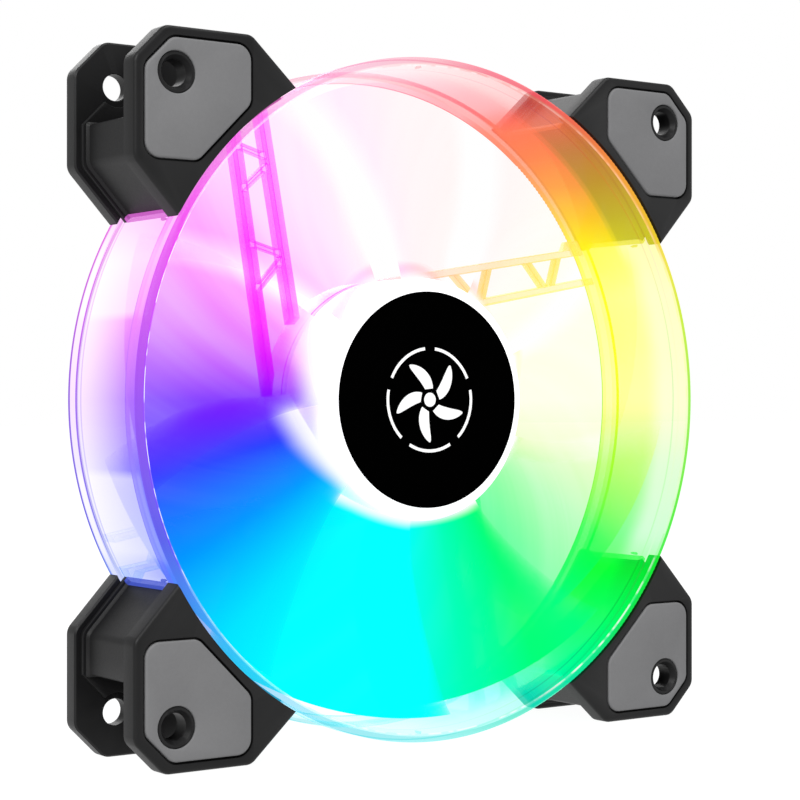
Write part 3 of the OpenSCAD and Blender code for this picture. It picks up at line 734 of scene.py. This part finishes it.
def flange(bm, y_face, y_back, turn, bevel=0.75, back_bevel=0.3, pocket_y=None):
    """One flange: y_face is the outside face with the pad's pocket, y_back the inside face."""
    s = 1 if y_back > y_face else -1
    steps = 4
    loops = []
    cut = 59.8
    for i in range(steps + 1):
        a = PI / 2 * i / steps
        e, d = bevel * (1 - math.sin(a)), bevel * (1 - math.cos(a))
        loops.append((e, d))
    outer = [add_loop(bm, flange_outline(e, cut + min(e, 0.2) * 0.8), y_face + s * d, turn) for e, d in loops]
    for i in range(2):
        a = PI / 2 * (i + 1) / 2
        e, d = back_bevel * (1 - math.cos(a)), back_bevel * (1 - math.sin(a))
        outer.append(add_loop(bm, flange_outline(e, cut + e * 0.5), y_back - s * d, turn)) if i else outer.append(add_loop(bm, flange_outline(0, cut), y_back - s * back_bevel, turn))
    for a, b in zip(outer, outer[1:]):
        bridge(bm, a, b)
    # pocket with a small rounded mouth, its floor, and the collar round the screw hole
    pk = [add_loop(bm, pad_outline(0.35 + 0.18), y_face, turn), add_loop(bm, pad_outline(0.35 + 0.05), y_face + s * 0.06, turn),
          add_loop(bm, pad_outline(0.35), y_face + s * 0.18, turn), add_loop(bm, pad_outline(0.35), pocket_y, turn)]
    for a, b in zip(pk, pk[1:]):
        bridge(bm, a, b)
    col = [add_loop(bm, ring_pts(r), y, turn) for r, y in
           ((3.4, pocket_y), (3.4, y_face + s * 0.3), (3.33, y_face + s * 0.09), (3.16, y_face), (2.95, y_face),
            (2.83, y_face + s * 0.04), (2.25, y_face + s * 1.0), (2.25, y_back - s * 0.12), (2.37, y_back))]
    for a, b in zip(col, col[1:]):
        bridge(bm, a, b)
    cap(bm, [outer[0], pk[0]])
    cap(bm, [pk[-1], col[0]])
    cap(bm, [outer[-1], col[-1]])


def post_outline(e, r, notch, rr=2.2, n=6, m=40):
    o = 60 - e
    sx = slant_x(e)
    a = on_circle(e, r)
    p = [(notch, o), (sx, o), a, (a[1], a[0]), (o, sx), (o, notch), (notch, notch)]
    out = []
    out += arc_corner(p[6], p[0], p[1], 0.5, 3)
    out += arc_corner(p[0], p[1], p[2], rr, n)
    out += circle_arc(p[2], p[3], r, m)
    out += arc_corner(p[3], p[4], p[5], rr, n)
    out += arc_corner(p[4], p[5], p[6], 0.5, 3)
    out += arc_corner(p[5], p[6], p[0], 1.6, 6)
    return out


def step_outline(e, r, g, rr=2.2, n=6, m=40):
    """Outline of the foot step, drawn in by e outside and by g along its slanted end."""
    o, d = 60 - e, 104.6 - g * math.sqrt(2)
    sx = slant_x(e)
    a = on_circle(e, r)
    p = [(d - o, o), (sx, o), a, (a[1], a[0]), (o, sx), (o, d - o)]
    out = [p[0]]
    out += arc_corner(p[0], p[1], p[2], rr, n)
    out += circle_arc(p[2], p[3], r, m)
    out += arc_corner(p[3], p[4], p[5], rr, n)
    out.append(p[5])
    # clear of the screw hole
    rc = 3.4 + g
    h = (2 * HOLE - d) / math.sqrt(2)
    a0 = math.acos(h / rc)
    for i in range(17):
        a1 = PI * 1.25 + a0 - 2 * a0 * i / 16
        out.append((HOLE + rc * math.cos(a1), HOLE + rc * math.sin(a1)))
    return out


def build_bracket(k, name):
    turn = k * PI / 2
    parts = []
    bm = bmesh.new()
    flange(bm, BF, -8.2, turn, pocket_y=-11.2)
    parts.append(bm)
    bm = bmesh.new()
    flange(bm, BR, 8.8, turn, pocket_y=11.2)
    parts.append(bm)
    # the post, flaring a little where it meets each flange
    bm = bmesh.new()
    rows = [(1.55, -8.25, 0.45), (1.62, -8.0, 0.38), (1.8, -7.75, 0.2), (2.0, -7.5, 0.0), (2.0, 7.3, 0.0), (1.8, 7.6, 0.2), (1.62, 7.82, 0.38), (1.55, 8.3, 0.45)]
    loops = [add_loop(bm, post_outline(e, 58.85, 45.8 + g), y, turn) for e, y, g in rows]
    for a, b in zip(loops, loops[1:]):
        bridge(bm, a, b)
    cap(bm, [loops[0]])
    cap(bm, [loops[-1]])
    parts.append(bm)
    # the step round the foot of the post, which ends on a slant across the screw hole
    bm = bmesh.new()
    rows = [(1.3, 8.0, 0.2), (1.16, 8.05, 0.06), (1.1, 8.18, 0.0), (1.1, 8.85, 0.0)]
    loops = [add_loop(bm, step_outline(e, 58.85, g), y, turn) for e, y, g in rows]
    for a, b in zip(loops, loops[1:]):
        bridge(bm, a, b)
    cap(bm, [loops[0]])
    cap(bm, [loops[-1]])
    parts.append(bm)
    objs = []
    for i, b in enumerate(parts):
        bmesh.ops.remove_doubles(b, verts=b.verts, dist=0.0015)
        bmesh.ops.recalc_face_normals(b, faces=b.faces)
        me = bpy.data.meshes.new(f"{name}_part{i}")
        for v in b.verts:
            v.co *= MM
        b.to_mesh(me)
        b.free()
        o = bpy.data.objects.new(f"{name}_part{i}", me)
        scene.collection.objects.link(o)
        objs.append(o)
    main = objs[0]
    for o in objs[1:]:
        m = main.modifiers.new("join", "BOOLEAN")
        m.operation = "UNION"
        m.solver = "EXACT"
        m.object = o
    dg = bpy.context.evaluated_depsgraph_get()
    me = bpy.data.meshes.new_from_object(main.evaluated_get(dg), depsgraph=dg)
    for o in objs:
        bpy.data.objects.remove(o)
    me.name = f"bracket_{name}"
    ob = bpy.data.objects.new(f"bracket_{name}", me)
    scene.collection.objects.link(ob)
    finish_mesh(ob, [M["black"]], sharp=30)
    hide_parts(f"corner_{name}")
    return ob


def build_pad(k, name, face, side):
    turn = k * PI / 2
    bm = bmesh.new()
    s = 1 if face < 0 else -1
    y0, y1 = face, face + s * 1.3
    rows = []
    for i in range(5):
        a = PI / 2 * i / 4
        rows.append((-0.38 * (1 - math.sin(a)), y0 + s * 0.38 * (1 - math.cos(a))))
    rows.append((0.0, y1))
    loops = [add_loop(bm, pad_outline(e), y, turn) for e, y in rows]
    for a, b in zip(loops, loops[1:]):
        bridge(bm, a, b)
    holes = [add_loop(bm, ring_pts(r), y, turn) for r, y in ((3.72, y0), (3.56, y0 + s * 0.05), (3.46, y0 + s * 0.2), (3.45, y0 + s * 0.3), (3.45, y1))]
    for a, b in zip(holes, holes[1:]):
        bridge(bm, a, b)
    cap(bm, [loops[0], holes[0]])
    cap(bm, [loops[-1], holes[-1]])
    ob = from_bmesh(f"{side}_rubber_{name}", bm, [M["pad"]], sharp=35)
    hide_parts(f"{side}_pad_{name}")
    return ob


# ---------------------------------------------------------------- rotor

def ease(t):
    t = max(0.0, min(1.0, t))
    return t * t * (3 - 2 * t)


ROOT_R, TIP_R = 20.7, 56.4


def mid_angle(t):
    return 13 * max(t, 0) ** 1.35


def width_angle(t):
    return 40 * (1.10 + 0.06 * ease(1.6 * t) - 0.02 * ease((t - 0.55) / 0.45))


def rear_y(t):
    return 4.1 + 2.7 * ease(3 * t)


def front_y(t):
    return -7.1 - ease(2 * t) + 0.8 * ease((t - 0.7) / 0.3)


def skin(t, s, side):
    r = ROOT_R + t * (TIP_R - ROOT_R)
    th = 1.5 * (1 - 0.35 * t)
    # a fillet where the blade leaves the hub, and a rounded tip
    th *= 1 + 0.9 * max(0.0, 1 - (r - HUB_R) / 1.1) ** 2
    tip = (r - (TIP_R - 0.4)) / 0.4
    if tip > 0:
        th *= math.sqrt(max(0.0, 1 - tip * tip)) * 0.8 + 0.2
    et = 0.3 + 0.7 * math.sqrt(max(0.0, math.sin(PI * s)))
    dy = (front_y(t) - rear_y(t)) * (1.32 - 0.64 * s)
    da = r * width_angle(t) * PI / 180
    ln = math.hypot(dy, da)
    n0, n1 = -dy / ln * side * th * et / 2, da / ln * side * th * et / 2
    a = math.radians(mid_angle(t) + (s - 0.5) * width_angle(t)) + n0 / r
    y = rear_y(t) + (front_y(t) - rear_y(t)) * (s + 0.32 * s * (1 - s)) + n1
    return (r * math.cos(a), y, r * math.sin(a))


def build_blades():
    bm = bmesh.new()
    chord = bm.verts.layers.float.new("chord")
    nr, nc = 46, 40
    ts = [i / nr for i in range(nr)] + [0.9925, 0.996, 0.9985, 1.0]
    ts = sorted(set([0.0, 0.006, 0.012, 0.018, 0.024, 0.032, 0.042] + [t for t in ts if t > 0.045]))
    ss = [0.5 - 0.5 * math.cos(PI * i / nc) for i in range(nc + 1)]
    for b in range(9):
        q = math.radians(40 * b)
        c, sn = math.cos(q), math.sin(q)
        rows = []
        for t in ts:
            row = [skin(t, s, 1) for s in ss] + [skin(t, s, -1) for s in reversed(ss)]
            rows.append([bm.verts.new((x * c + z * sn, y, -x * sn + z * c)) for x, y, z in row])
            for v, part in zip(rows[-1], ss + ss[::-1]):
                v[chord] = part
        m = len(rows[0])
        for a, bb in zip(rows, rows[1:]):
            for i in range(m):
                j = (i + 1) % m
                bm.faces.new((a[i], a[j], bb[j], bb[i]))
        for row in (rows[0], rows[-1]):
            h = len(ss)
            for i in range(h - 1):
                bm.faces.new((row[i], row[i + 1], row[m - 2 - i], row[m - 1 - i]))
    ob = from_bmesh("blades", bm, [M["blade"]], sharp=60, body="rotor")
    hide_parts("impeller")
    return ob


def build_hub():
    bm = bmesh.new()
    prof = [(0.001, HUB_F), (19.2, HUB_F)]
    for i in range(0, 11):
        a = PI / 2 * i / 10
        prof.append((HUB_R - 2.2 + 2.2 * math.sin(a), HUB_F + 2.2 - 2.2 * math.cos(a)))
    prof += [(HUB_R, HUB_B - 0.3), (HUB_R - 0.1, HUB_B - 0.08), (HUB_R - 0.3, HUB_B), (20.3, HUB_B), (20.08, HUB_B - 0.08), (20.0, HUB_B - 0.3),
             (20.0, -6.6), (19.6, -7.15), (4.9, -7.15), (4.5, -6.8), (4.5, -5.1), (4.3, -4.9), (0.001, -4.9)]
    rings = revolve(bm, prof, 192, closed=False)
    ob = from_bmesh("hub_shell", bm, [M["hub"]], sharp=40, body="rotor", weld=0.01)
    return ob


def build_label():
    bm = bmesh.new()
    prof = [(0.001, LABEL_F), (18.95, LABEL_F), (19.04, LABEL_F + 0.03), (19.07, LABEL_F + 0.1), (19.07, HUB_F - 0.001), (0.001, HUB_F - 0.001)]
    revolve(bm, prof, 192, closed=False)
    ob = from_bmesh("label_disc", bm, [M["label"]], sharp=50, body="rotor", weld=0.01)
    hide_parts("hub_label")
    # a plain pinwheel of five curved vanes inside a thin broken ring
    bm = bmesh.new()
    y0, y1 = LABEL_F - 0.025, LABEL_F + 0.02

    def prism(pts):
        a = [bm.verts.new((x, y0, z)) for x, z in pts]
        b = [bm.verts.new((x, y1, z)) for x, z in pts]
        bridge(bm, a, b)
        bm.faces.new(a)
        bm.faces.new(list(reversed(b)))

    for k in range(5):
        base = 2 * PI * k / 5 + PI / 2
        lead, trail = [], []
        for i in range(15):
            f = i / 14
            r = 2.1 + 5.4 * f
            w = 0.50 * (1 - f) ** 0.8 + 0.02
            c = base + 0.62 * f
            lead.append((r * math.cos(c + w), r * math.sin(c + w)))
            trail.append((r * math.cos(c - w * 0.6), r * math.sin(c - w * 0.6)))
        prism(lead + trail[::-1])
    prism([(1.25 * math.cos(2 * PI * i / 40), 1.25 * math.sin(2 * PI * i / 40)) for i in range(40)])
    for k in range(5):
        a0, a1 = 2 * PI * k / 5 + PI / 2 + 0.12, 2 * PI * (k + 1) / 5 + PI / 2 - 0.12
        outer = [(9.3 * math.cos(a0 + (a1 - a0) * i / 24), 9.3 * math.sin(a0 + (a1 - a0) * i / 24)) for i in range(25)]
        inner = [(8.75 * math.cos(a0 + (a1 - a0) * i / 24), 8.75 * math.sin(a0 + (a1 - a0) * i / 24)) for i in range(25)]
        prism(outer + inner[::-1])
    mark = from_bmesh("label_pinwheel", bm, [M["mark"]], sharp=30, body="rotor")
    return ob


# ---------------------------------------------------------------- assembly

build_ring()
build_sills()
for k, name in enumerate(("upper_right", "lower_right", "lower_left", "upper_left")):
    build_bracket(k, name)
    build_pad(k, name, PF, "front")
    build_pad(k, name, PR, "rear")
build_blades()
build_hub()
build_label()


def dress(node, mat, bevel=0.0, slot=None, segments=2):
    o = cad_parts[node]
    if not o.data.materials:
        o.data.materials.append(mat)
    for i in range(len(o.material_slots)):
        o.material_slots[i].link = "OBJECT"
        o.material_slots[i].material = mat
    if bevel:
        b = o.modifiers.new("round_edges", "BEVEL")
        b.width = bevel * MM
        b.segments = segments
        b.limit_method = "ANGLE"
        b.angle_limit = math.radians(32)
        b.harden_normals = False
    return o


def rounded_copy(node, name, mats, bevel, min_angle=28.0):
    """A copy of a CAD node with its edges rounded; the rounding takes the second material."""
    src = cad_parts[node]
    bm = bmesh.new()
    bm.from_mesh(src.data)
    bmesh.ops.remove_doubles(bm, verts=bm.verts, dist=2e-6)
    bmesh.ops.dissolve_limit(bm, angle_limit=math.radians(1.0), verts=bm.verts, edges=bm.edges)
    for f in bm.faces:
        f.material_index = 0
    lim = math.radians(min_angle)
    edges = [e for e in bm.edges if len(e.link_faces) == 2 and e.calc_face_angle(0.0) > lim]
    bmesh.ops.bevel(bm, geom=edges, offset=bevel * MM, offset_type="OFFSET", segments=2, profile=0.5, affect="EDGES", clamp_overlap=True, material=1 if len(mats) > 1 else -1)
    bmesh.ops.triangulate(bm, faces=[f for f in bm.faces if len(f.verts) > 4])
    me = bpy.data.meshes.new(name)
    bm.to_mesh(me)
    bm.free()
    ob = bpy.data.objects.new(name, me)
    scene.collection.objects.link(ob)
    finish_mesh(ob, mats, sharp=40)
    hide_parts(node)
    return ob


for name in ("upper_right", "lower_right", "lower_left", "upper_left"):
    rounded_copy(f"strut_{name}", f"strut_shell_{name}", [M["strut"], M["strut_edge"]], 0.2)
rounded_copy("motor_base", "motor_base_shell", [M["base"], M["strut_edge"]], 0.2)
dress("rear_label", film("rear_label_film", rgb(26, 26, 28), rough=0.45))
dress("bearing_tube", metal("brass_turned", (0.72, 0.5, 0.2, 1), 0.3))
dress("sleeve_bearing", metal("bronze_sintered", (0.5, 0.28, 0.13, 1), 0.5, (3000, 3000, 3000), 0.3))
dress("oil_seal", moulded("seal_rubber", rgb(30, 30, 30), 0.6))
dress("thrust_cap", moulded("nylon_cap", rgb(232, 232, 226), 0.4))
dress("stator_core", metal("lamination_steel", (0.32, 0.34, 0.37, 1), 0.4, (300, 9000, 300), 0.5))
dress("front_bobbin", moulded("nylon_bobbin_front", rgb(236, 234, 226), 0.45))
dress("rear_bobbin", moulded("nylon_bobbin_rear", rgb(236, 234, 226), 0.45))
dress("coils", copper_winding())
dress("winding_pins", metal("tinned_wire", (0.78, 0.78, 0.76, 1), 0.3))
dress("motor_board", board())
dress("driver_chip", moulded("chip_resin", rgb(22, 22, 23), 0.5))
dress("board_parts", moulded("ceramic_parts", rgb(176, 148, 110), 0.4))
dress("hub_leds", moulded("lamp_packages", rgb(244, 244, 232), 0.3))
dress("rotor_yoke", metal("yoke_plated", (0.55, 0.55, 0.57, 1), 0.3))
dress("rotor_magnet", moulded("ferrite", rgb(52, 51, 52), 0.55))
dress("shaft", metal("shaft_ground", (0.75, 0.75, 0.77, 1), 0.15, (200, 6000, 200), 0.05))
dress("retaining_clip", moulded("nylon_clip", rgb(226, 222, 204), 0.4))


# ---------------------------------------------------------------- stage, light and camera

def build_stage():
    bm = bmesh.new()
    bmesh.ops.create_grid(bm, x_segments=24, y_segments=24, size=4.0)
    me = bpy.data.meshes.new("floor")
    bm.to_mesh(me)
    bm.free()
    floor = bpy.data.objects.new("floor", me)
    floor.location = (0, 0, -0.0601)
    scene.collection.objects.link(floor)
    t = Tree("floor_paper")
    n = t.noise(t.object_pos(), 3.0, 2.0)
    t.set(Base_Color=t.mix(t.band(n, 0.3, 0.7), (0.10, 0.10, 0.10, 1), (0.11, 0.11, 0.11, 1)), Roughness=0.9,
          Emission_Color=(1, 1, 1, 1), Emission_Strength=0.97)
    t.bsdf.inputs["Specular IOR Level"].default_value = 0.0
    me.materials.append(t.mat)

    w = bpy.data.worlds.new("studio")
    scene.world = w
    w.use_nodes = True
    nt = w.node_tree
    nt.nodes.clear()
    out = nt.nodes.new("ShaderNodeOutputWorld")
    seen = nt.nodes.new("ShaderNodeBackground")
    seen.inputs[0].default_value = (1, 1, 1, 1)
    seen.inputs[1].default_value = 1.0
    soft = nt.nodes.new("ShaderNodeBackground")
    soft.inputs[0].default_value = (1, 1, 1, 1)
    soft.inputs[1].default_value = 0.62
    path = nt.nodes.new("ShaderNodeLightPath")
    mix = nt.nodes.new("ShaderNodeMixShader")
    nt.links.new(path.outputs["Is Camera Ray"], mix.inputs[0])
    nt.links.new(soft.outputs[0], mix.inputs[1])
    nt.links.new(seen.outputs[0], mix.inputs[2])
    nt.links.new(mix.outputs[0], out.inputs[0])

    def area(name, loc, size, power, at=(0, 0, 0)):
        ld = bpy.data.lights.new(name, "AREA")
        ld.shape = "SQUARE"
        ld.size = size
        ld.energy = power
        lo = bpy.data.objects.new(name, ld)
        lo.location = loc
        lo.rotation_euler = (Vector(at) - Vector(loc)).to_track_quat("-Z", "Y").to_euler()
        scene.collection.objects.link(lo)
        return lo

    area("key_left", (-0.75, -0.35, 0.55), 0.5, 7.0)
    area("fill_top", (0.1, -0.25, 0.95), 0.6, 5.0)
    area("fill_right", (0.7, -0.5, 0.2), 0.5, 0.8)
    area("back_soft", (0.2, 0.8, 0.5), 0.6, 3.0)


build_stage()

cam_data = bpy.data.cameras.new("camera")
cam = bpy.data.objects.new("camera", cam_data)
scene.collection.objects.link(cam)
cam.location = (-0.21704, -0.30843, 0.0)
cam.rotation_mode = "QUATERNION"
cam.rotation_quaternion = Vector((0.59141, 0.80637, 0.0)).to_track_quat("-Z", "Y")
cam_data.sensor_width = 36.0
cam_data.lens = 94.478
cam_data.shift_x = -41.856 / 800
cam_data.shift_y = -0.283 / 800
cam_data.clip_start, cam_data.clip_end = 0.01, 50.0
scene.camera = cam

scene.view_settings.view_transform = "Standard"
scene.view_settings.look = "None"
scene.cycles.max_bounces = 12
scene.cycles.transparent_max_bounces = 96
scene.cycles.transmission_bounces = 8
scene.cycles.use_denoising = True
